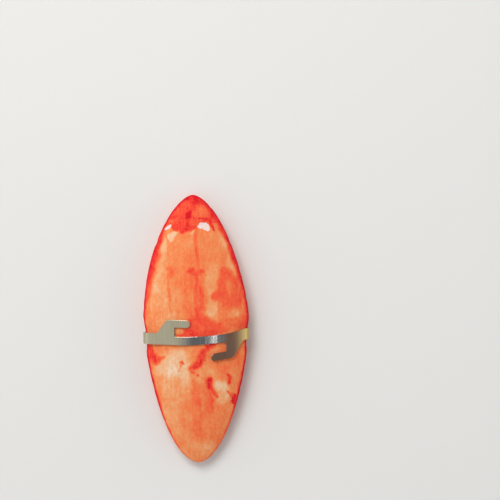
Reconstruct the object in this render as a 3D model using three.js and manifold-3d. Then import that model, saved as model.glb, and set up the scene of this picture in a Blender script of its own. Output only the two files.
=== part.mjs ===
// A dyed cuttlebone for cage birds, with the sheet-metal clip that hooks it to the bars.
// Millimetres. It lies on its chalky belly with the hard back up: +Z is up, +Y points to
// the head end, and the origin is under the middle of the whole thing, on the table.
import * as THREE from "three";
import { mergeVertices } from "three/addons/utils/BufferGeometryUtils.js";
import Module from "manifold-3d";

const wasm = await Module();
wasm.setup();

// ---- Driving dimensions -------------------------------------------------------------

// The bone.
const BONE_LENGTH = 120;
const BONE_WIDTH = 47.4;
const BACK_RISE = 7.2; // how far the back stands above the rim
const BELLY_DROP = 9; // how far the belly hangs below the rim
const RIM_HALF = 0.9; // half the thickness that the rim is rounded over
const RIM_DROOP = 3; // how much lower both tips of the rim lie than its middle
const WIDEST = 0.05; // place of the widest station, from -1 at the tail to 1 at the head
const DEEPEST = 0.14; // place of the deepest station of the belly
const HEAD_LEAN = 0.9; // how far the head end has grown over to the left
const LEAN_FULL = 0.6; // the station from which the whole lean holds
const RIB_RISE = 0.35; // height of the broad rib along the back
const WORN_FLAT = 0.4; // how much of the belly is worn away to the flat that it lies on
const GRIP_DEPTH = 0.75; // how far the clip has bitten into the soft rim on each side
const GRIP_PLACE = -3;
const GRIP_HALF = 6;
const BONE_SIDES = 56;
const BONE_STATIONS = 72;

// The clip, a strip of sheet metal with a hook at each end of its narrow middle.
const SHEET = 0.5;
const BAND_WIDTH = 3.6;
const STUB_WIDTH = 5; // the wider strip from each hook round the rim to the claw
const HOOK_SLOT = 4.2; // between the band and a finger
const FINGER_WIDTH = 3.3;
const FINGER_LENGTH = 7;
const HOOK_ROOT = 11.5; // from the strip's middle to the closed end of each slot
const WEB_LENGTH = 2.5; // the full-height stretch behind each slot
const SWEEP_LENGTH = 6.5; // the curved shoulder from the web down to the stub
const CLAW_TIP_HALF = 1.4; // half width of each claw at its end
const CLAW_TAPER = 5;
const STATION = 0.5; // spacing of the cross lines at which the strip bends

// ---- The bone -----------------------------------------------------------------------

// Falls from 1 at 0 to 0 at 1, full near 0 for a large swell and blunt near 1 for a small tip.
const taper = (share, swell, tip) =>
  Math.pow(Math.max(0, 1 - Math.pow(Math.abs(share), swell)), tip);

// How far a station is from a peak towards the tip on its side, from 0 to 1.
const shareFrom = (peak, along) =>
  along > peak ? (along - peak) / (1 - peak) : (peak - along) / (1 + peak);

const halfWidth = (along) => {
  const share = shareFrom(WIDEST, along);
  const shape = along > WIDEST ? taper(share, 1.7, 0.6) : taper(share, 1.5, 0.52);
  const grip = Math.exp(-Math.pow(((BONE_LENGTH / 2) * along - GRIP_PLACE) / GRIP_HALF, 4));
  return (BONE_WIDTH / 2) * shape - GRIP_DEPTH * grip;
};

const lean = (along) => HEAD_LEAN * THREE.MathUtils.smoothstep(along, 0, LEAN_FULL);

const rimHeight = (along) => BELLY_DROP - RIM_DROOP * along * along;

// The back: a dome with a low, broad rib that widens towards the head.
const backHeight = (along, across) => {
  const share = shareFrom(WIDEST, along);
  const rise = (BACK_RISE - RIM_HALF) * taper(share, 2, 0.62);
  const ribShare = 0.24 + 0.1 * along;
  const rib = RIB_RISE * taper(share, 4, 1) * Math.exp(-Math.pow(across / ribShare, 4));
  const rim = RIM_HALF * taper(share, 4, 0.5) * Math.sqrt(1 - across * across);
  return rimHeight(along) + rise * taper(across, 2.4, 0.68) + rib + rim;
};

// The belly: a swell under the front half that thins to a hollow-sided wedge at the tail.
const bellyHeight = (along, across) => {
  const share = shareFrom(DEEPEST, along);
  const ahead = along > DEEPEST;
  const drop = (BELLY_DROP - RIM_HALF) * taper(share, ahead ? 2 : 1.5, ahead ? 0.8 : 1.05);
  const hollow = ahead ? 1 : 1 + 0.7 * share;
  const rim = RIM_HALF * taper(shareFrom(WIDEST, along), 4, 0.5) * Math.sqrt(1 - across * across);
  return rimHeight(along) - drop * taper(across, 2.4, hollow) - rim;
};

// A sphere whose poles are the two tips, with every point moved to the bone's surface.
function boneGeometry() {
  const geometry = new THREE.SphereGeometry(1, BONE_SIDES, BONE_STATIONS);
  const position = geometry.getAttribute("position");
  const point = new THREE.Vector3();
  for (let i = 0; i < position.count; i++) {
    point.fromBufferAttribute(position, i);
    const along = THREE.MathUtils.clamp(point.y, -1, 1);
    const turn = Math.atan2(point.z, point.x);
    const across = Math.min(1, Math.abs(Math.cos(turn)));
    const height = point.z > 0 ? backHeight(along, across) : bellyHeight(along, across);
    position.setXYZ(
      i,
      halfWidth(along) * Math.cos(turn) - lean(along),
      (BONE_LENGTH / 2) * along,
      height - WORN_FLAT,
    );
  }
  return geometry;
}

// ---- The clip -----------------------------------------------------------------------

// The strip's middle line as [x, y, height above the rim]: a claw under the left side, a
// shoulder that stands off the back, the crown, then down the right side close to the
// bone, round the rim and further under it to the other claw. It sags towards the tail.
const CLIP_LINE = [
  [-18.2, -3.6, -4.5], [-20.8, -3.6, -3.1], [-22.7, -3.6, -1.8], [-23.48, -3.65, 0.3],
  [-23.2, -3.65, 2.4], [-21.7, -3.75, 4], [-18.8, -3.95, 5.15], [-12, -4.2, 6.85],
  [-6, -4.5, 7.8], [0, -4.85, 8.15], [6, -5.05, 7.75], [12, -4.8, 6.85], [17, -3.9, 5.4],
  [20.7, -2.8, 3.55], [22.85, -2.35, 1.85], [23.5, -2.2, -0.2], [22.7, -2.2, -1.8],
  [20.8, -2.2, -3.1], [18.2, -2.2, -4.5], [16.3, -2.2, -5.5], [14.3, -2.2, -6.4],
];

// The same line as points at every STATION from the middle outwards, and the unit
// vector square to the strip at each.
function clipStations() {
  const line = CLIP_LINE.map(
    ([x, y, z]) => new THREE.Vector3(x, y, z + BELLY_DROP - WORN_FLAT),
  );
  const curve = new THREE.CatmullRomCurve3(line, false, "centripetal");
  curve.arcLengthDivisions = 2000;
  const length = curve.getLength();
  const reach = Math.floor(length / 2 / STATION);
  const stations = new Map();
  for (let step = -reach; step <= reach; step++) {
    const share = 0.5 + (step * STATION) / length;
    const tangent = curve.getTangentAt(share);
    stations.set(step, {
      point: curve.getPointAt(share),
      tangent,
      outward: new THREE.Vector3(-tangent.z, 0, tangent.x).normalize(),
    });
  }
  return { stations, reach };
}

const { stations, reach } = clipStations();
const REACH = reach * STATION;

// A flat point of the blank, at a distance along it from the middle and a distance across
// it, bent to its place. Level is -0.5 on the inner face and 0.5 on the outer one. The
// fingers are left flat: past the hooks' roots they run straight on over the bone.
function bend(distance, across, level, isFinger) {
  const past = isFinger ? Math.max(0, HOOK_ROOT - Math.abs(distance)) : 0;
  const overhang = -Math.sign(distance) * past;
  const { point, tangent, outward } = stations.get(Math.round((distance - overhang) / STATION));
  return point
    .clone()
    .addScaledVector(tangent, overhang)
    .addScaledVector(outward, level * SHEET)
    .add(new THREE.Vector3(0, across, 0));
}

// A length of the strip between two edges, each a function of the distance along it.
function stripGeometry(from, to, lowEdge, highEdge, isFinger = false) {
  const steps = Math.round((to - from) / STATION);
  const geometry = new THREE.BoxGeometry(1, 1, 1, steps, 1, 1);
  const position = geometry.getAttribute("position");
  for (let i = 0; i < position.count; i++) {
    const distance = from + (position.getX(i) + 0.5) * (to - from);
    const edge = position.getY(i) < 0 ? lowEdge(distance) : highEdge(distance);
    const bent = bend(distance, edge, position.getZ(i), isFinger);
    position.setXYZ(i, bent.x, bent.y, bent.z);
  }
  return geometry;
}

// Half the strip's width between the hooks and the claws' ends.
function stubHalf(distance) {
  const left = REACH - Math.abs(distance);
  const share = THREE.MathUtils.smoothstep(left, 0, CLAW_TAPER);
  return THREE.MathUtils.lerp(CLAW_TIP_HALF, STUB_WIDTH / 2, share);
}

// The band is flush with the lower edge of the left stub and the upper edge of the right
// one, so its middle crosses the strip's middle line.
const bandShift = (distance) =>
  ((STUB_WIDTH - BAND_WIDTH) / 2) *
  Math.sin((Math.PI / 2) * THREE.MathUtils.clamp(distance / HOOK_ROOT, -1, 1));

const mainStrip = () =>
  stripGeometry(
    -REACH,
    REACH,
    (d) => (Math.abs(d) > HOOK_ROOT ? -stubHalf(d) : bandShift(d) - BAND_WIDTH / 2),
    (d) => (Math.abs(d) > HOOK_ROOT ? stubHalf(d) : bandShift(d) + BAND_WIDTH / 2),
  );

const FINGER_LOW = BAND_WIDTH - STUB_WIDTH / 2 + HOOK_SLOT;
const FINGER_HIGH = FINGER_LOW + FINGER_WIDTH;

// Side 1 is the right hook, which points down, and side -1 the left one, which points up.
function hookGeometries(side) {
  const sweepStart = HOOK_ROOT + WEB_LENGTH;
  const sweepEnd = sweepStart + SWEEP_LENGTH;
  const webTop = (distance) =>
    THREE.MathUtils.lerp(
      FINGER_HIGH,
      STUB_WIDTH / 2 - STATION,
      THREE.MathUtils.smoothstep(Math.abs(distance), sweepStart, sweepEnd),
    );
  const tipRadius = FINGER_WIDTH / 2;
  const fingerEnd = HOOK_ROOT - FINGER_LENGTH;
  const fingerHalf = (distance) => {
    const overrun = Math.max(0, fingerEnd + tipRadius - Math.abs(distance)) / tipRadius;
    return tipRadius * Math.max(0.3, Math.sqrt(Math.max(0, 1 - overrun * overrun)));
  };
  const fingerMiddle = (FINGER_LOW + FINGER_HIGH) / 2;
  const pieces = [
    { isFinger: false, from: HOOK_ROOT, to: sweepEnd, low: () => 0, high: webTop },
    {
      isFinger: true,
      from: fingerEnd,
      to: HOOK_ROOT + STATION,
      low: (d) => fingerMiddle - fingerHalf(d),
      high: (d) => fingerMiddle + fingerHalf(d),
    },
  ];
  return pieces.map(({ isFinger, from, to, low, high }) =>
    side > 0
      ? stripGeometry(from, to, (d) => -high(d), (d) => -low(d), isFinger)
      : stripGeometry(-to, -from, low, high, isFinger),
  );
}

// ---- Solids and meshes --------------------------------------------------------------

function solidOf(geometry) {
  const bare = geometry.clone();
  bare.deleteAttribute("normal");
  bare.deleteAttribute("uv");
  const merged = mergeVertices(bare, 1e-4);
  return new wasm.Manifold(
    new wasm.Mesh({
      numProp: 3,
      vertProperties: merged.attributes.position.array,
      triVerts: new Uint32Array(merged.index.array),
    }),
  );
}

function geometryOf(solid) {
  const { vertProperties, triVerts } = solid.getMesh();
  const geometry = new THREE.BufferGeometry();
  geometry.setAttribute("position", new THREE.BufferAttribute(vertProperties, 3));
  geometry.setIndex(new THREE.BufferAttribute(triVerts, 1));
  geometry.computeVertexNormals();
  return geometry;
}

// The belly's lowest swell is cut off level at the table.
function wornBone() {
  const table = new THREE.BoxGeometry(BONE_WIDTH, BONE_LENGTH, BELLY_DROP);
  table.translate(0, 0, -BELLY_DROP / 2);
  return geometryOf(solidOf(boneGeometry()).subtract(solidOf(table)));
}

const clipGeometry = () =>
  geometryOf(
    [...hookGeometries(-1), ...hookGeometries(1)]
      .map(solidOf)
      .reduce((joined, piece) => joined.add(piece), solidOf(mainStrip())),
  );

const dyedChalk = new THREE.MeshStandardMaterial({
  color: new THREE.Color(0.93, 0.42, 0.2),
  roughness: 0.85,
  metalness: 0,
});
const sheetSteel = new THREE.MeshStandardMaterial({
  color: new THREE.Color(0.66, 0.66, 0.62),
  roughness: 0.3,
  metalness: 1,
});

const bone = new THREE.Mesh(wornBone(), dyedChalk);
bone.name = "cuttlebone";

const clip = new THREE.Mesh(clipGeometry(), sheetSteel);
clip.name = "cage_clip";

const cuttlebone = new THREE.Group();
cuttlebone.add(bone, clip);

export default cuttlebone;
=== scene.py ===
# A dyed cuttlebone for cage birds, lying on its belly with its sheet-steel cage clip on.
# The frame is in metres: +Y points to the head end, +Z is up and the table is at Z = 0.
import math

import bmesh
import bpy
import numpy as np
from mathutils import Matrix, Vector, noise


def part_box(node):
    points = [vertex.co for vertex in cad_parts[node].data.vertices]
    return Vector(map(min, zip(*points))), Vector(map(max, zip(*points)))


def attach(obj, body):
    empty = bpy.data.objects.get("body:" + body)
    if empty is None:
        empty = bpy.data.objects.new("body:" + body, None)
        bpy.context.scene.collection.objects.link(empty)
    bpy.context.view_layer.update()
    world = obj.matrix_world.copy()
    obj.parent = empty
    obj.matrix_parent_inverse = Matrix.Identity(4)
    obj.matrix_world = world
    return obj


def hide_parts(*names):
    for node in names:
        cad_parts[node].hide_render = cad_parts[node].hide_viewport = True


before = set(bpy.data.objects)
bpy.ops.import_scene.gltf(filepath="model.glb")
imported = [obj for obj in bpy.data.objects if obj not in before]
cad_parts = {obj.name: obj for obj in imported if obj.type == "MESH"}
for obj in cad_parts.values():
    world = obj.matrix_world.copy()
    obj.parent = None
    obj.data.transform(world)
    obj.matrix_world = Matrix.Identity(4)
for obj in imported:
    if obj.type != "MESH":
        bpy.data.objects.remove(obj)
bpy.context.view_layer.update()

# ---- The bone's shape ---------------------------------------------------------------
# The inner shell of a cuttlefish, grown as one piece: a hard domed back with a thin rim
# over a soft chalky belly, which is deepest behind the head and thins to a wedge at the
# tail. It is worked out in millimetres, from the box that the frame gives it.
MM = 0.001
bone_low, bone_high = (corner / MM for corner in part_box("cuttlebone"))
HALF_LENGTH = (bone_high.y - bone_low.y) / 2
BONE_BREADTH = 47.4
BELLY_DROP = 9.0
WORN_FLAT = 0.4
RIM_LEVEL = BELLY_DROP - WORN_FLAT
RIM_DROOP = 3.0
RIM_HALF = 0.9
RIB_RISE = 0.35
BACK_RISE = bone_high.z - RIM_LEVEL - RIB_RISE
WIDEST = 0.05
DEEPEST = 0.14
HEAD_LEAN = 0.9
LEAN_FULL = 0.6
# The clip has bitten a little way into the soft rim on each side.
GRIP_DEPTH = 0.75
GRIP_PLACE = -3.0
GRIP_HALF = 6.0


def smooth(share):
    """An even step from 0 to 1, for one number or an array of them."""
    share = np.clip(share, 0.0, 1.0)
    return share * share * (3 - 2 * share)


def taper(share, swell, tip):
    """Falls from 1 at 0 to 0 at 1."""
    return max(0.0, 1 - abs(share) ** swell) ** tip


def share_from(peak, along):
    """How far a station is from the peak towards the tip on its side, from 0 to 1."""
    return (along - peak) / (1 - peak) if along > peak else (peak - along) / (1 + peak)


def half_width(along):
    share = share_from(WIDEST, along)
    shape = taper(share, 1.7, 0.6) if along > WIDEST else taper(share, 1.5, 0.52)
    grip = math.exp(-(((HALF_LENGTH * along - GRIP_PLACE) / GRIP_HALF) ** 4))
    return BONE_BREADTH / 2 * shape - GRIP_DEPTH * grip


def rim_thickness(along, across):
    return RIM_HALF * taper(share_from(WIDEST, along), 4, 0.5) * math.sqrt(1 - across * across)


def back_height(along, across):
    share = share_from(WIDEST, along)
    dome = (BACK_RISE - RIM_HALF) * taper(share, 2, 0.62) * taper(across, 2.4, 0.68)
    rib = RIB_RISE * taper(share, 4, 1) * math.exp(-((across / (0.24 + 0.1 * along)) ** 4))
    return RIM_LEVEL - RIM_DROOP * along * along + dome + rib + rim_thickness(along, across)


def belly_height(along, across):
    share = share_from(DEEPEST, along)
    ahead = along > DEEPEST
    drop = (BELLY_DROP - RIM_HALF) * (taper(share, 2, 0.8) if ahead else taper(share, 1.5, 1.05))
    swell = drop * taper(across, 2.4, 1 if ahead else 1 + 0.7 * share)
    return RIM_LEVEL - RIM_DROOP * along * along - swell - rim_thickness(along, across)


# A ball with its poles at the two tips is moved out to the bone's surface. Each point
# keeps its place in plan, its distance in from the rim and its side for what follows.
SIDES = 240
RINGS = 400
SLOPE_STEP = 0.005
bone_form = bmesh.new()
bmesh.ops.create_uvsphere(
    bone_form,
    u_segments=SIDES,
    v_segments=RINGS,
    radius=1,
    matrix=Matrix.Rotation(-math.pi / 2, 4, "X"),
)
plan = np.zeros((len(bone_form.verts), 2))
inset = np.zeros(len(bone_form.verts))
share_across = np.zeros(len(bone_form.verts))
is_back = np.zeros(len(bone_form.verts), bool)
for index, vert in enumerate(bone_form.verts):
    along = min(1.0, max(-1.0, vert.co.y))
    turn = math.atan2(vert.co.z, vert.co.x)
    across = min(1.0, abs(math.cos(turn)))
    is_back[index] = vert.co.z >= 0
    height = back_height(along, across) if is_back[index] else belly_height(along, across)
    width = half_width(along)
    step = SLOPE_STEP if along < 0 else -SLOPE_STEP
    flare = (half_width(along + step) - width) / (step * HALF_LENGTH)
    middle = -HEAD_LEAN * float(smooth(along / LEAN_FULL))
    vert.co = (width * math.cos(turn) + middle, HALF_LENGTH * along, height)
    plan[index] = vert.co.x, vert.co.y
    inset[index] = width * (1 - across) / math.hypot(1, flare)
    share_across[index] = across
plan_x, plan_y = plan.T

# ---- The bone's surface -------------------------------------------------------------
# The back is shagreen: fine granules, growth lines bowed towards the head, and a furrow
# on each side of the broad rib. The belly is chalk, laid down in wavy lines, with the
# smooth last layer at the head end and a thin horny ledge along the tail half.
GRANULE = 1.3
GROWTH_STEP = 2.4
CHALK_STEP = 1.9
STRIA_STEP = 0.8
LAST_LAYER = 25.0
CHIP_DEPTH = 0.3
NO_CHIP = 9.0
NOISE_SEED = 2
# Where the hard skin of the back has flaked off and shows white chalk: middle, half
# breadth, half length and turn in degrees.
CHIPS = [
    (3.1, 46.0, 1.6, 1.3, 10),
    (5.6, 45.6, 1.2, 1.9, 20),
    (4.4, 44.9, 1.0, 0.9, 0),
    (-12.0, 45.8, 1.9, 0.75, 24),
]
noise.seed_set(NOISE_SEED)
unrest = np.zeros((len(plan), 3))
for reach, patch in ((1.0, 3.4), (0.7, 1.7), (0.4, 0.9)):
    unrest += reach * np.array([noise.noise_vector(Vector((x, y, patch)) / patch) for x, y in plan])


def ellipse(x, y, breadth, length, turn, raggedness):
    """Distance from an ellipse's middle, 1 at its edge, with that edge made ragged."""
    angle = math.radians(turn)
    away_x = plan_x - x + raggedness * unrest[:, 0]
    away_y = plan_y - y + raggedness * unrest[:, 1]
    side = away_x * math.cos(angle) + away_y * math.sin(angle)
    forth = away_y * math.cos(angle) - away_x * math.sin(angle)
    return np.hypot(side / breadth, forth / length)


chip = np.full(len(plan), NO_CHIP)
for x, y, breadth, length, turn in CHIPS:
    chip = np.minimum(chip, (ellipse(x, y, breadth, length, turn, 0.7) - 1) * min(breadth, length))
chip[~is_back] = NO_CHIP


def noise_of(size, level=0):
    """Smooth unevenness from about -1 to 1 with patches of one size over the outline."""
    return np.array([noise.noise(Vector((x, y, level)) / size) for x, y in plan])


def bump_at(value, middle, spread):
    """A soft ridge, 1 high where the value is at the middle."""
    return np.exp(-(((value - middle) / spread) ** 2))


growth = plan_y + np.where(is_back, 9, 13) * share_across**2 + 1.6 * noise_of(8, 20)
along_all = plan_y / HALF_LENGTH
broad = noise_of(15)
lumps = noise_of(4.5, 5)
granules = np.array([noise.voronoi(Vector((x, y, 0)) / GRANULE)[0][0] for x, y in plan])
rib_edge = 0.3 + 0.1 * along_all
ripples = np.sin(2 * math.pi * growth / GROWTH_STEP) * (0.8 - 0.5 * along_all)
back_relief = (
    0.14 * broad
    + 0.05 * lumps
    + 0.08 * (0.45 - granules) * smooth(inset / 3)
    + 0.035 * ripples * smooth(inset / 4)
    - 0.1 * bump_at(share_across, rib_edge, 0.05)
    - 0.05 * bump_at(share_across, 0.6, 0.06)
    + 0.08 * bump_at(inset, 0.9, 0.6)
    - 0.12 * bump_at(inset, 2.3 + 0.5 * lumps, 0.5)
    - CHIP_DEPTH * smooth(0.5 - chip / 0.5)
)
chalky = smooth((LAST_LAYER - growth) / 1.2)
belly_relief = (
    0.16 * broad
    + 0.06 * lumps
    + 0.05 * np.sin(2 * math.pi * growth / CHALK_STEP) * chalky * smooth(inset / 3)
    - 0.12 * chalky
    - 0.5 * bump_at(plan_x, 0, 3.2) * smooth((22 - plan_y) / 18)
    - 0.35 * smooth((2.6 + 0.6 * lumps - inset) / 0.8) * smooth((8 - plan_y) / 10)
)
nicks = 0.3 * np.maximum(noise_of(3.1, 40), 0) * smooth(1 - inset / 1.6)
relief = np.where(is_back, back_relief, belly_relief) * smooth(inset / 1.2 + 0.3)

bone_form.normal_update()
for vert, rise, nick in zip(bone_form.verts, relief, nicks):
    vert.co += vert.normal * float(rise - nick)
    vert.co.z = max(vert.co.z, 0.0)
for face in bone_form.faces:
    face.smooth = True
bmesh.ops.scale(bone_form, vec=(MM, MM, MM), verts=bone_form.verts)
bmesh.ops.recalc_face_normals(bone_form, faces=bone_form.faces)
bone_mesh = bpy.data.meshes.new("dyed_bone")
bone_form.to_mesh(bone_mesh)
bone_form.free()
dyed_bone = bpy.data.objects.new("dyed_bone", bone_mesh)
bpy.context.scene.collection.objects.link(dyed_bone)

# ---- The dye ------------------------------------------------------------------------
# The bone was dipped and dabbed with orange food dye. It soaked in unevenly: it pooled
# red at the head, along the rim and in runs, and left pale patches where it was thin.
# The depth of dye at each point is painted over in turn, from 0, bare, to 1, full red.
depth = np.full(len(plan), 0.45)


def paint(mask, target):
    """Brings the dye to a target depth where the mask is 1."""
    depth[:] += (target - depth) * np.clip(mask, 0, 1)


def blot(x, y, breadth, length, turn=0, soft=0.5):
    """A patch of dye, full in the middle and soft over a share of its half breadth."""
    return smooth((1 + soft / 2 - ellipse(x, y, breadth, length, turn, 0.8)) / soft)


def run(points, soft=0.8):
    """A run of dye through points given as x, y and half breadth."""
    at = plan + 0.45 * unrest[:, :2]
    nearest = np.full(len(plan), 1e3)
    for (*start, first), (*end, last) in zip(points, points[1:]):
        start, way = np.array(start), np.subtract(end, start)
        share = np.clip((at - start) @ way / (way @ way), 0, 1)
        away = np.hypot(*(at - start - share[:, None] * way).T)
        nearest = np.minimum(nearest, away / (first + (last - first) * share))
    return smooth((1 + soft / 2 - nearest) / soft)


# Broad, faint differences: middle, half breadth, half length, turn, depth.
WASHES = [
    (-0.5, 14, 7, 17, 0, 0.56),
    (-15, 13, 5, 17, 6, 0.33),
    (-9, 9, 3.5, 11, 0, 0.4),
    (-11, -36, 6.5, 17, -12, 0.34),
    (-4.5, -36, 3, 16, 0, 0.45),
    (0, -38, 2.6, 16, 0, 0.55),
    (7, -44, 5, 13, 8, 0.5),
    (14, -14, 7, 8, 0, 0.5),
    (-17, -9, 5, 4, 0, 0.46),
    (17, 14, 7, 14, 10, 0.56),
    # The last wash pales the tail tip: partly thin dye, partly a painted highlight.
    (-1, -54.5, 9, 4.5, 0, 0.36),
]
for x, y, breadth, length, turn, target in WASHES:
    paint(0.9 * blot(x, y, breadth, length, turn, 1.1), target)

# Pale places where little dye took: the same, and how soft the edge is.
THIN_PATCHES = [
    (-9.8, -18.5, 7.4, 8.2, 12, 0.14, 0.9),
    (-10.6, -17.5, 3.6, 3.4, 12, 0.07, 1.2),
    (-7.5, -12.4, 4.0, 3.6, 0, 0.2, 0.9),
    (-10.5, -28, 4.2, 7, 0, 0.33, 1.0),
    # This pale patch is partly thin dye and partly a painted highlight.
    (10.9, -25.4, 3.2, 2.2, -24, 0.08, 1.4),
    (11.6, -30.6, 2.8, 3.6, -10, 0.2, 1.0),
    (3.6, -21, 4.2, 3.6, 0, 0.33, 0.9),
    (7.0, 9.6, 2.6, 6.4, -6, 0.29, 0.8),
    (16.3, 6.6, 3.2, 2.2, 30, 0.38, 1.0),
    (7.6, 21, 3.4, 8, -4, 0.34, 0.7),
    (17.4, 23.5, 1.0, 4.5, 8, 0.3, 0.8),
    (-10.0, 41.7, 1.5, 2.8, -38, 0.08, 0.5),
    (-0.9, 44.3, 1.1, 2.6, -62, 0.14, 0.6),
    (12.6, 40, 1.8, 5, 18, 0.27, 0.9),
    (15.9, 29.6, 1.8, 5, 14, 0.3, 0.9),
    (-14.3, 37, 1.2, 6, -3, 0.22, 0.9),
    (-17.6, 19, 1.4, 10, -12, 0.26, 0.9),
    (8.4, -9.2, 2.6, 0.9, 0, 0.4, 0.6),
]
for x, y, breadth, length, turn, target, soft in THIN_PATCHES:
    paint(0.9 * blot(x, y, breadth, length, turn, soft), target)

# Deep places: middle, half breadth, half length, turn, depth and softness.
DEEP_PATCHES = [
    (14.8, 17.5, 5.2, 9.0, 8, 0.67, 0.4),
    (10.0, 15.6, 3.4, 2.4, 30, 0.7, 0.5),
    (12.6, 25.0, 1.8, 2.4, 0, 0.7, 0.5),
    (17.0, 12.0, 3.4, 2.6, 0, 0.68, 0.5),
    (14.8, 19.0, 1.2, 4.0, 10, 0.56, 1.0),
    (1.8, 2.6, 6.4, 3.4, 0, 0.74, 0.6),
    (10.2, 0.8, 5.4, 2.0, 0, 0.72, 0.6),
    (-3.8, -1.6, 5.4, 1.8, 0, 0.79, 0.5),
    (3.5, -2.0, 9, 1.8, 6, 0.76, 0.5),
    (20.0, 3.2, 3.6, 2.6, 12, 0.66, 0.6),
    (14.2, 2.6, 2.4, 2.2, 0, 0.62, 0.6),
    (-1.9, 26.0, 1.8, 1.3, 0, 0.8, 0.8),
    (2.7, 25.8, 1.4, 1.1, 20, 0.76, 0.8),
    (0.4, 25.0, 2.0, 1.2, 0, 0.68, 1.0),
    (-11.2, 24.6, 1.5, 2.6, -14, 0.66, 1.0),
    (-12.0, 27.4, 0.9, 0.9, 0, 0.7, 1.0),
    (2.4, 12.5, 1.0, 5.2, 0, 0.64, 1.0),
    (-6.4, -14.7, 0.7, 0.6, 0, 0.8, 0.6),
    (-1.2, -19.6, 0.9, 0.7, 0, 0.7, 0.8),
    (0.4, -20.7, 0.7, 0.5, 0, 0.74, 0.8),
    (5.4, -28.5, 2.4, 7, 0, 0.58, 1.0),
    (16.5, -31.6, 1.5, 2.6, 10, 0.98, 0.4),
    (15.2, -29.6, 1.2, 1.2, 20, 0.7, 1.0),
    (5.6, -35, 1.1, 3.6, 0, 0.64, 0.9),
    (17.5, -12, 3, 6, 0, 0.55, 0.9),
]
for x, y, breadth, length, turn, target, soft in DEEP_PATCHES:
    paint(blot(x, y, breadth, length, turn, soft), target)
paint(blot(-7.3, -0.9, 1.6, 1.2, 0, 0.8), 0.38)

# Runs, hooks and lines of dye: their points, depth and softness.
RUNS = [
    ([(1.0, 45.5, 0.7), (0.3, 38, 0.9), (1.1, 33, 0.8), (1.4, 27, 0.6)], 0.64, 1.2),
    ([(-1.8, 24.9, 0.6), (0.2, 24.3, 0.7), (2.4, 24.9, 0.5)], 0.7, 1.0),
    ([(0.6, 24, 0.6), (0.2, 12, 0.9), (0.8, 5, 0.7)], 0.7, 1.2),
    ([(2.2, 19, 0.5), (2.9, 14, 0.8), (2.2, 9, 0.7)], 0.72, 1.2),
    ([(-11.8, 28, 0.3), (-12.1, 18, 0.5), (-11.4, 8, 0.3)], 0.55, 1.4),
    ([(7.6, -6.6, 1.5), (5.4, -7.8, 1.3), (3.6, -9.2, 0.9)], 0.8, 1.2),
    ([(3.8, -8.8, 0.7), (2.4, -10.8, 1.7), (2.0, -13.4, 1.8)], 0.76, 1.2),
    ([(2.0, -13.4, 1.8), (1.0, -15.6, 1.5), (-2.4, -17.4, 1.1)], 0.77, 1.2),
    ([(3.2, -9.4, 0.5), (3.0, -12.6, 0.8), (1.8, -15.6, 0.8), (-0.8, -17.2, 0.5)], 0.86, 1.1),
    ([(-20.6, -8.0, 1.1), (-19.6, -11.4, 2.0), (-18.4, -13.8, 1.8)], 0.74, 1.2),
    ([(-18.4, -13.8, 1.8), (-16.6, -12.8, 1.1), (-14.6, -12.2, 0.6)], 0.74, 1.2),
    ([(-19.8, -9.6, 0.8), (-19.2, -12.4, 1.1), (-18.2, -13.8, 0.7)], 0.88, 1.0),
    ([(5.4, -22.8, 1.5), (5.7, -25.2, 1.2), (7.0, -27.8, 1.0), (9.0, -30.4, 0.6)], 0.78, 1.2),
    ([(6.6, -21.6, 0.5), (5.3, -22.9, 0.9), (5.5, -25.0, 0.8), (6.8, -27.6, 0.4)], 0.88, 1.0),
    ([(0.2, -27, 0.4), (0.9, -33, 0.7), (1.4, -39, 0.7), (0.9, -46, 0.5)], 0.62, 1.4),
    ([(5.6, -28, 0.4), (6.6, -32, 0.7), (6.9, -37, 0.5)], 0.68, 1.2),
    ([(-1.6, -22, 0.4), (-1.0, -27, 0.5), (-1.5, -31, 0.4)], 0.58, 1.3),
    ([(13.4, -20.2, 0.5), (14.8, -21.4, 0.9), (14.4, -24.2, 0.7)], 0.82, 1.2),
    ([(13.6, -27.6, 0.3), (15.0, -30.0, 0.6)], 0.72, 1.3),
    ([(-6.6, -15.2, 0.4), (-7.9, -18.4, 0.3)], 0.42, 1.2),
]
for points, target, soft in RUNS:
    paint(run(points, soft), target)

# The head was dipped deeper, up to a scalloped tide line, and two drops ran on it.
TIDE_LINE = 46.9
cap = smooth((plan_y + 0.5 * unrest[:, 1] - TIDE_LINE) / 0.5)
cap = np.maximum(blot(-4.6, 50.6, 7.8, 7.9, 0, 0.08), cap)
paint(cap, 0.76)
for x, y, breadth, length, turn, target, soft in (
    (3.4, 52, 3.4, 3.2, 0, 0.62, 0.9),
    (-8.4, 53.6, 0.8, 1.5, -30, 0.5, 0.8),
    (-11.3, 48.4, 1.3, 0.8, 0, 0.52, 0.8),
    (-5, 45.0, 5.4, 2.0, 0, 0.83, 0.8),
):
    paint(cap * blot(x, y, breadth, length, turn, soft), target)
paint(cap * smooth((plan_y - 54.5) / 3) * smooth((plan_x + 3) / 4), 0.97)
paint(blot(-2.9, 50.8, 1.5, 1.5, 0, 1.4), 1.0)
paint(blot(-8.9, 50.2, 0.8, 0.8, 0, 1.4), 0.9)
paint(run([(2.0, 49.2, 0.4), (6.2, 48.9, 0.7), (7.6, 46.8, 0.8), (8.6, 44.2, 0.6)], 1.0), 0.88)

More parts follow.
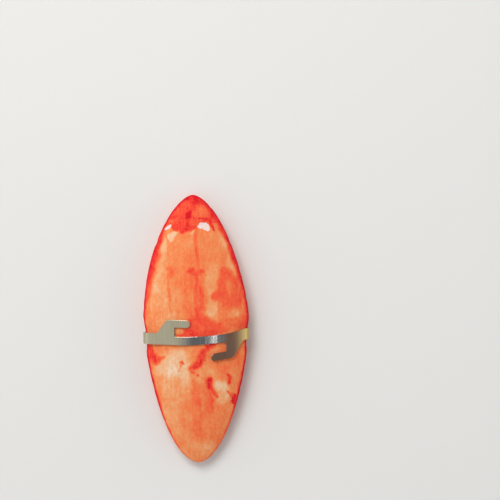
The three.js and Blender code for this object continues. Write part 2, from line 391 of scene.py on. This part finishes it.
# Dye gathered under the thin rim: how wide the band is, in millimetres, and how deep the
# dye is, at stations along the left side and the right.
LEFT_RIM = [
    (-60, 0.6, 0.5),
    (-45, 0.9, 0.8),
    (-30, 1.1, 0.9),
    (8, 1.2, 0.85),
    (17, 2.4, 0.76),
    (25, 2.9, 0.85),
    (33, 3.2, 0.84),
    (39, 2.2, 0.84),
    (46, 1.5, 0.86),
    (60, 1.5, 0.9),
]
RIGHT_RIM = [
    (-60, 0.6, 0.5),
    (-45, 0.8, 0.7),
    (-32, 1.2, 0.85),
    (-5, 1.1, 0.75),
    (5, 1.8, 0.75),
    (22, 1.5, 0.85),
    (34, 1.9, 0.85),
    (45, 2.0, 0.85),
    (60, 1.5, 0.9),
]
for stations, on_side in ((LEFT_RIM, plan_x < 0), (RIGHT_RIM, plan_x >= 0)):
    places, widths, depths = zip(*stations)
    band = np.interp(plan_y, places, widths) * (1 + 0.5 * lumps)
    target = np.interp(plan_y, places, depths)
    mask = smooth(1.5 - inset / band) * on_side
    paint(mask, target)
paint(smooth(1.3 - inset / 0.8) * smooth((plan_y + 40) / 8), 1.0)

# The belly is chalk all through and took the dye in its own way.
belly_depth = 0.42 + 0.1 * broad + 0.08 * lumps + 0.06 * chalky
rim_depth = np.interp(plan_y, (-58, -40), (0.5, 0.85))
belly_depth += (rim_depth - belly_depth) * smooth(1.2 - inset / (2.2 + lumps))
belly_depth += (0.8 - belly_depth) * 0.8 * bump_at(plan_x, 0, 1.6) * smooth((20 - plan_y) / 30)
depth = np.where(is_back, depth, belly_depth)

for name, values in (
    ("dye_depth", depth),
    ("chip", chip),
    ("growth", growth),
    ("striated", np.where(is_back, 0.12, chalky)),
):
    layer = bone_mesh.attributes.new(name, "FLOAT", "POINT")
    layer.data.foreach_set("value", values.astype(np.float32))


def linear(red, green, blue):
    """A colour given as it looks, from 0 to 255, as the linear colour that nodes take."""
    return *(((part / 255 + 0.055) / 1.055) ** 2.4 for part in (red, green, blue)), 1.0


def add_node(tree, kind, inputs=None, **settings):
    """Adds a node with its settings, its constant inputs and the sockets linked to it."""
    node = tree.nodes.new(kind)
    for name, value in settings.items():
        setattr(node, name, value)
    for key, value in (inputs or {}).items():
        if isinstance(value, bpy.types.NodeSocket):
            tree.links.new(value, node.inputs[key])
        else:
            node.inputs[key].default_value = value
    return node


def calc(tree, operation, *values):
    """The result of a Math node."""
    return add_node(tree, "ShaderNodeMath", dict(enumerate(values)), operation=operation).outputs[0]


def attribute(tree, name, output="Fac"):
    return add_node(tree, "ShaderNodeAttribute", attribute_name=name).outputs[output]


def mixed(tree, share, first, second):
    """The first colour, with the second over it by a share from 0 to 1."""
    return add_node(
        tree, "ShaderNodeMix", {0: share, 6: first, 7: second}, data_type="RGBA"
    ).outputs[2]


def eased(tree, value, start, end):
    """Goes evenly from 0 to 1 as a value goes from a start to an end."""
    return add_node(
        tree,
        "ShaderNodeMapRange",
        {"Value": value, "From Min": start, "From Max": end},
        interpolation_type="SMOOTHSTEP",
    ).outputs["Result"]


# Uneven patches of any size, round or stretched, that go up and down about zero. Every
# material has them, from blotches of dye to the drawn grain of the steel.
mottle = bpy.data.node_groups.new("mottle", "ShaderNodeTree")
mottle.interface.new_socket("Position", in_out="INPUT", socket_type="NodeSocketVector")
mottle.interface.new_socket("Patch Size", in_out="INPUT", socket_type="NodeSocketVector")
mottle.interface.new_socket("Detail", in_out="INPUT", socket_type="NodeSocketFloat")
mottle.interface.new_socket("Amount", in_out="INPUT", socket_type="NodeSocketFloat")
mottle.interface.new_socket("Value", in_out="OUTPUT", socket_type="NodeSocketFloat")
given = mottle.nodes.new("NodeGroupInput")
sized = add_node(
    mottle,
    "ShaderNodeVectorMath",
    {0: given.outputs["Position"], 1: given.outputs["Patch Size"]},
    operation="DIVIDE",
)
patches = add_node(
    mottle,
    "ShaderNodeTexNoise",
    {"Vector": sized.outputs[0], "Scale": 1.0, "Detail": given.outputs["Detail"], "Roughness": 0.6},
)
centred = calc(mottle, "SUBTRACT", patches.outputs["Fac"], 0.5)
doubled = calc(mottle, "MULTIPLY", centred, 2.0)
result = mottle.nodes.new("NodeGroupOutput")
mottle.links.new(calc(mottle, "MULTIPLY", doubled, given.outputs["Amount"]), result.inputs["Value"])


def mottled(tree, position, size, detail, amount):
    """The mottle group, placed with one material's own values."""
    return add_node(
        tree,
        "ShaderNodeGroup",
        {"Position": position, "Patch Size": size, "Detail": detail, "Amount": amount},
        node_tree=mottle,
    ).outputs["Value"]


def position_in_mm(tree):
    """The point's place in the frame, in millimetres."""
    place = tree.nodes.new("ShaderNodeTexCoord").outputs["Object"]
    return add_node(
        tree, "ShaderNodeMapping", {"Vector": place, "Scale": (1 / MM, 1 / MM, 1 / MM)}
    ).outputs[0]


def ramp(tree, value, stops):
    """A colour that follows a value from 0 to 1 through (value, colour) stops."""
    node = add_node(tree, "ShaderNodeValToRGB", {"Fac": value})
    elements = node.color_ramp.elements
    elements.remove(elements[1])
    elements[0].position = stops[0][0]
    for stop, _ in stops[1:]:
        elements.new(stop)
    for element, (_, colour) in zip(elements, stops):
        element.color = linear(*colour)
    return node.outputs["Color"]


def new_material(name):
    """A material, its node tree and the shader in it."""
    material = bpy.data.materials.new(name)
    material.use_nodes = True
    return material, material.node_tree, material.node_tree.nodes["Principled BSDF"]


# The colour of the chalk by the depth of dye in it, and of a fresh chip.
DYE_COLOURS = [
    (0.0, (246, 216, 190)),
    (0.14, (240, 192, 150)),
    (0.3, (243, 164, 110)),
    (0.42, (243, 142, 86)),
    (0.55, (245, 120, 70)),
    (0.68, (246, 97, 62)),
    (0.8, (243, 70, 53)),
    (0.91, (228, 34, 38)),
    (1.0, (208, 12, 38)),
]
CHIP_COLOUR = linear(240, 218, 210)
CHIP_EDGE = 0.12
dyed_chalk, tree, shader = new_material("dyed_chalk")
position = position_in_mm(tree)
soaked = attribute(tree, "dye_depth")
for size, detail, amount in (
    ((3.4, 5.0, 3.4), 5.0, 0.2),
    ((1.2, 1.8, 1.2), 3.0, 0.16),
    ((0.8, 12.0, 2.0), 3.0, 0.12),
    ((0.4, 0.4, 0.4), 2.0, 0.22),
):
    soaked = calc(tree, "ADD", soaked, mottled(tree, position, size, detail, amount))
striae = calc(tree, "MULTIPLY", attribute(tree, "growth"), 2 * math.pi / STRIA_STEP)
striae = calc(tree, "MULTIPLY", calc(tree, "SINE", striae), attribute(tree, "striated"))
soaked = calc(tree, "MULTIPLY_ADD", striae, 0.06, soaked)
dye = ramp(tree, soaked, DYE_COLOURS)
ragged = mottled(tree, position, (0.5, 0.5, 0.5), 3.0, 0.25)
ragged = calc(tree, "ADD", attribute(tree, "chip"), ragged)
chipped = eased(tree, ragged, CHIP_EDGE, -CHIP_EDGE)
colour = mixed(tree, chipped, dye, CHIP_COLOUR)
tree.links.new(colour, shader.inputs["Base Color"])
shader.inputs["Specular IOR Level"].default_value = 0.12
roughness = calc(tree, "ADD", 0.8, mottled(tree, position, (0.8, 0.8, 0.8), 2.0, 0.1))
tree.links.new(roughness, shader.inputs["Roughness"])
grain = calc(
    tree,
    "ADD",
    mottled(tree, position, (0.5, 0.7, 0.5), 4.0, 0.6),
    mottled(tree, position, (0.16, 0.16, 0.16), 2.0, 0.3),
)
grain = calc(tree, "MULTIPLY_ADD", striae, 0.3, grain)
bump = add_node(tree, "ShaderNodeBump", {"Height": grain, "Strength": 1.0, "Distance": 0.1 * MM})
tree.links.new(bump.outputs[0], shader.inputs["Normal"])

bone_mesh.materials.append(dyed_chalk)
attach(dyed_bone, "root")
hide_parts("cuttlebone")

# ---- The cage clip ------------------------------------------------------------------
# One strip of thin sheet steel, stamped with a hook at each end of its narrow middle and
# bent over the back. Its ends turn round the rim and grip the belly with tapered claws.
SHEET = 0.5
BAND_WIDTH = 3.6
STUB_WIDTH = 5.0
HOOK_SLOT = 4.2
HOOK_ROOT = 11.5
FINGER_WIDTH = 3.3
FINGER_LENGTH = 7.0
WEB_LENGTH = 2.5
SWEEP_LENGTH = 6.5
CLAW_TIP_HALF = 1.4
CLAW_TAPER = 5.0
BEND_STEP = 0.25
BURR = 0.08
CORNER = 0.35
SHARP_EDGE = math.radians(18)
# The strip's middle line: across, along the bone and above the rim.
CLIP_LINE = [
    (-18.2, -3.6, -4.5), (-20.8, -3.6, -3.1), (-22.7, -3.6, -1.8), (-23.48, -3.65, 0.3),
    (-23.2, -3.65, 2.4), (-21.7, -3.75, 4), (-18.8, -3.95, 5.15), (-12, -4.2, 6.85),
    (-6, -4.5, 7.8), (0, -4.85, 8.15), (6, -5.05, 7.75), (12, -4.8, 6.85), (17, -3.9, 5.4),
    (20.7, -2.8, 3.55), (22.85, -2.35, 1.85), (23.5, -2.2, -0.2), (22.7, -2.2, -1.8),
    (20.8, -2.2, -3.1), (18.2, -2.2, -4.5), (16.3, -2.2, -5.5), (14.3, -2.2, -6.4),
]


def smooth_line(points, steps=24):
    """Points close together on a smooth line through the given ones."""
    points = [np.array(point, float) for point in points]
    points = [2 * points[0] - points[1], *points, 2 * points[-1] - points[-2]]
    line = [points[1]]
    for a, b, c, d in zip(points, points[1:], points[2:], points[3:]):
        ab, bc, cd = (math.sqrt(math.dist(*pair)) for pair in ((a, b), (b, c), (c, d)))
        start = c - b + bc * ((b - a) / ab - (c - a) / (ab + bc))
        end = c - b + bc * ((d - c) / cd - (d - b) / (bc + cd))
        for share in np.linspace(0, 1, steps + 1)[1:]:
            line.append(
                (2 * share**3 - 3 * share**2 + 1) * b
                + (share**3 - 2 * share**2 + share) * start
                + (3 * share**2 - 2 * share**3) * c
                + (share**3 - share**2) * end
            )
    return np.array(line)


clip_line = smooth_line(CLIP_LINE)
clip_length = np.linalg.norm(np.diff(clip_line, axis=0), axis=1)
clip_length = np.concatenate([[0], np.cumsum(clip_length)])
clip_length -= clip_length[-1] / 2
REACH = clip_length[-1]
clip_way = np.gradient(clip_line, clip_length, axis=0)


def bend(distance, across, level):
    """A point of the flat blank, bent to its place, with level 0 at half the thickness.

    The fingers are left flat: past the hooks' roots they run straight on over the bone.
    """
    side = math.copysign(1, distance)
    is_finger = -side * across > STUB_WIDTH / 2
    overhang = -side * max(0.0, HOOK_ROOT - abs(distance)) if is_finger else 0.0
    place, way = (
        np.array([np.interp(distance - overhang, clip_length, column) for column in columns])
        for columns in (clip_line.T, clip_way.T)
    )
    lift = level / math.hypot(way[0], way[2])
    place += overhang * way + lift * np.array([-way[2], 0, way[0]])
    return Vector(place + (0, across, RIM_LEVEL))


def band_shift(distance):
    """How far the narrow band runs off the middle, towards the outer edge at each hook."""
    return (STUB_WIDTH - BAND_WIDTH) / 2 * math.sin(math.pi / 2 * distance / HOOK_ROOT)


def half_outline(side):
    """The right half of the blank, from the middle of the top edge to the lower one's."""
    slot_low = BAND_WIDTH - STUB_WIDTH / 2 + HOOK_SLOT
    finger_middle = slot_low + FINGER_WIDTH / 2
    hook_high = slot_low + FINGER_WIDTH
    radius = FINGER_WIDTH / 2
    band = np.linspace(0, HOOK_ROOT, 9)
    top = [(d, band_shift(d) + BAND_WIDTH / 2) for d in band]
    claw = []
    for share in np.linspace(0, 0.9, 7):
        narrowed = (CLAW_TIP_HALF - STUB_WIDTH / 2) * float(smooth(share))
        claw.append((REACH - CLAW_TAPER * (1 - share), STUB_WIDTH / 2 + narrowed))
    claw.append((REACH, CLAW_TIP_HALF - 0.5))
    sweep = []
    for share in np.linspace(1, 0, 15):
        rise = (hook_high - STUB_WIDTH / 2) * float(smooth(share))
        sweep.append((HOOK_ROOT + WEB_LENGTH + SWEEP_LENGTH * share, rise - hook_high))
    knuckle = [(HOOK_ROOT + 0.8, -hook_high)]
    tip = []
    tip_place = HOOK_ROOT - FINGER_LENGTH + radius
    for angle in np.linspace(-math.pi / 2, -3 * math.pi / 2, 13):
        across = radius * math.sin(angle) - finger_middle
        tip.append((tip_place + radius * math.cos(angle), across))
    root = [
        (HOOK_ROOT - 0.4, -slot_low),
        (HOOK_ROOT - 0.1, -slot_low + 0.1),
        (HOOK_ROOT, -slot_low + 0.4),
    ]
    band_edge = band_shift(HOOK_ROOT) - BAND_WIDTH / 2
    corner = [(HOOK_ROOT, band_edge - CORNER), (HOOK_ROOT - CORNER, band_edge)]
    low = [(d, band_shift(d) - BAND_WIDTH / 2) for d in band[-2:0:-1]]
    ring = [*top, *claw, *((d, -t) for d, t in reversed(claw))]
    ring += [*sweep, *knuckle, *tip, *root, *corner, *low]
    return [(d * side, t * side) for d, t in ring]


blank = bmesh.new()
ring = [blank.verts.new((d, t, -SHEET / 2)) for d, t in half_outline(1) + half_outline(-1)]
under = blank.faces.new(ring)
sheet = bmesh.ops.extrude_face_region(blank, geom=[under])
raised = [item for item in sheet["geom"] if isinstance(item, bmesh.types.BMVert)]
bmesh.ops.translate(blank, verts=raised, vec=(0, 0, SHEET))
bmesh.ops.recalc_face_normals(blank, faces=blank.faces)
rims = [edge for edge in blank.edges if abs(edge.verts[0].co.z - edge.verts[1].co.z) < SHEET / 2]
bmesh.ops.bevel(
    blank, geom=rims, offset=BURR, segments=2, profile=0.5, affect="EDGES", material=-1
)
for distance in np.arange(BEND_STEP - REACH, REACH, BEND_STEP):
    bmesh.ops.bisect_plane(
        blank,
        geom=[*blank.verts, *blank.edges, *blank.faces],
        plane_co=(distance, 0, 0),
        plane_no=(1, 0, 0),
        dist=1e-5,
    )
flat_place = blank.verts.layers.float_vector.new("blank")
# Per point of the blank: how much of the painted grey and brown reflection it takes.
painted_grey = blank.verts.layers.float.new("painted_grey")
painted_brown = blank.verts.layers.float.new("painted_brown")
for vert in blank.verts:
    vert[flat_place] = vert.co
    # The left finger takes the painted grey reflection and the right one the brown, to its tip.
    vert[painted_grey] = float(smooth((-3 - vert.co.x) / 8)) if vert.co.y < STUB_WIDTH else 1.0
    vert[painted_brown] = float(smooth((vert.co.x - 9) / 4)) if vert.co.y > -STUB_WIDTH else 1.0
    vert.co = bend(*vert.co)
bmesh.ops.scale(blank, verts=blank.verts, vec=(MM, MM, MM))
for face in blank.faces:
    face.smooth = True
for edge in blank.edges:
    edge.smooth = edge.calc_face_angle() < SHARP_EDGE
clip_mesh = bpy.data.meshes.new("steel_clip")
blank.to_mesh(clip_mesh)
blank.free()
steel_clip = bpy.data.objects.new("steel_clip", clip_mesh)
bpy.context.scene.collection.objects.link(steel_clip)

# Bare in the middle of the band, the steel's colour holds painted reflections: grey towards
# the left claw, brown and then yellow towards the right one, and fine dark streaks across.
BARE_STEEL = linear(200, 198, 194)
# The painted reflections: grey on the left, brown and then yellow on the right.
GREY_PAINTED_REFLECTION = linear(190, 183, 156)
BROWN_PAINTED_REFLECTION = linear(186, 146, 122)
YELLOW_PAINTED_REFLECTION = linear(196, 170, 110)
# Dark streaks painted in the steel's colour, standing in for streaks in its reflection.
DARK_PAINTED_STREAK = linear(90, 88, 86)
YELLOW_REFLECTION_REACH = (14.5, 20.0)
STEEL_ROUGHNESS = 0.13
sheet_steel, tree, shader = new_material("sheet_steel")
position = attribute(tree, "blank", "Vector")
drawn = mottled(tree, position, (14.0, 0.12, 1.0), 3.0, 1.0)
smudge = mottled(tree, position, (4.0, 3.0, 1.0), 3.0, 1.0)
along_strip = add_node(tree, "ShaderNodeSeparateXYZ", {0: position}).outputs["X"]
# Where the painted dark streaks of reflection fall.
painted_streaks = mottled(tree, position, (0.35, 9.0, 1.0), 3.0, 0.25)
smudged = calc(tree, "MULTIPLY", smudge, 0.2)
tint = BARE_STEEL
# Paints the reflections and the dark streaks into the steel's colour.
for share, colour in (
    (calc(tree, "ADD", attribute(tree, "painted_grey"), smudged), GREY_PAINTED_REFLECTION),
    (calc(tree, "ADD", attribute(tree, "painted_brown"), smudged), BROWN_PAINTED_REFLECTION),
    (eased(tree, along_strip, *YELLOW_REFLECTION_REACH), YELLOW_PAINTED_REFLECTION),
    (calc(tree, "ADD", painted_streaks, 0.08), DARK_PAINTED_STREAK),
):
    tint = mixed(tree, share, tint, colour)
tree.links.new(tint, shader.inputs["Base Color"])
shader.inputs["Metallic"].default_value = 1.0
roughness = calc(tree, "MULTIPLY", calc(tree, "ADD", smudge, drawn), 0.05)
roughness = calc(tree, "ADD", roughness, STEEL_ROUGHNESS)
tree.links.new(roughness, shader.inputs["Roughness"])
waves = mottled(tree, position, (1.3, 20.0, 1.0), 1.0, 1.0)
height = calc(tree, "MULTIPLY_ADD", drawn, 0.08, waves)
bump = add_node(tree, "ShaderNodeBump", {"Height": height, "Strength": 1.0, "Distance": 0.01 * MM})
tree.links.new(bump.outputs[0], shader.inputs["Normal"])
clip_mesh.materials.append(sheet_steel)
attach(steel_clip, "root")
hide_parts("cage_clip")

# ---- The table, the light and the camera --------------------------------------------
# A plain pale table under an even white dome. The dome has a dim patch overhead and
# another to the right, as over a camera in a light tent, with a bright slit between.
TABLE_HALF = 3.0
table_form = bmesh.new()
bmesh.ops.create_grid(table_form, x_segments=1, y_segments=1, size=TABLE_HALF)
table_mesh = bpy.data.meshes.new("table")
table_form.to_mesh(table_mesh)
table_form.free()
table = bpy.data.objects.new("table", table_mesh)
bpy.context.scene.collection.objects.link(table)
pale, tree, shader = new_material("pale_table")
shader.inputs["Base Color"].default_value = linear(232, 231, 228)
shader.inputs["Roughness"].default_value = 0.7
shader.inputs["Specular IOR Level"].default_value = 0.2
table_mesh.materials.append(pale)

# How bright the tent is, by its angle from overhead towards +X in degrees.
TENT = [
    (-90, (197, 197, 197)),
    (-50, (171, 171, 171)),
    (-20, (166, 166, 166)),
    (-14, (139, 139, 139)),
    (-8, (86, 88, 91)),
    (12.6, (86, 88, 91)),
    (13.1, (340, 340, 340)),
    (13.9, (340, 340, 340)),
    (14.4, (86, 86, 86)),
    (27, (105, 105, 105)),
    (43, (116, 116, 116)),
    (55, (149, 149, 149)),
    (70, (199, 199, 199)),
    (90, (199, 199, 199)),
]
TENT_GLOW = 2.0
world = bpy.data.worlds.new("tent")
world.use_nodes = True
bpy.context.scene.world = world
tree = world.node_tree
sky = tree.nodes["Background"]
toward = tree.nodes.new("ShaderNodeTexCoord").outputs["Generated"]
toward = add_node(tree, "ShaderNodeSeparateXYZ", {0: toward})
angle = calc(tree, "ARCTAN2", toward.outputs["X"], toward.outputs["Z"])
place = calc(tree, "MULTIPLY_ADD", angle, 1 / math.pi, 0.5)
stops = [(degrees / 180 + 0.5, colour) for degrees, colour in TENT]
tree.links.new(ramp(tree, place, stops), sky.inputs["Color"])
sky.inputs["Strength"].default_value = TENT_GLOW

# A soft lamp behind the head end, to the left, gives the bone its shadow.
key = bpy.data.objects.new("key_light", bpy.data.lights.new("key_light", "AREA"))
key.data.size = 0.6
key.data.energy = 7.5
key.location = (-0.28, 0.62, 1.0)
key.rotation_euler = (-key.location).to_track_quat("-Z", "Y").to_euler()
bpy.context.scene.collection.objects.link(key)

# The camera looks straight down and stands off to the head end's right, so the bone lies
# left of and below the middle of the view, turned a little.
VIEW_HEIGHT = 0.8
VIEW_BREADTH = 0.2236
VIEW_RIGHT = 0.02446
VIEW_FORTH = 0.03487
SENSOR = 36.0
VIEW_TURN = math.radians(-0.8)
camera_data = bpy.data.cameras.new("camera")
camera_data.sensor_width = SENSOR
camera_data.lens = SENSOR * VIEW_HEIGHT / VIEW_BREADTH
camera_data.clip_end = 20.0
camera = bpy.data.objects.new("camera", camera_data)
camera.location = (VIEW_RIGHT, VIEW_FORTH, VIEW_HEIGHT + RIM_LEVEL * MM)
camera.rotation_euler = (0, 0, VIEW_TURN)
bpy.context.scene.collection.objects.link(camera)
bpy.context.scene.camera = camera
bpy.context.scene.view_settings.view_transform = "Standard"
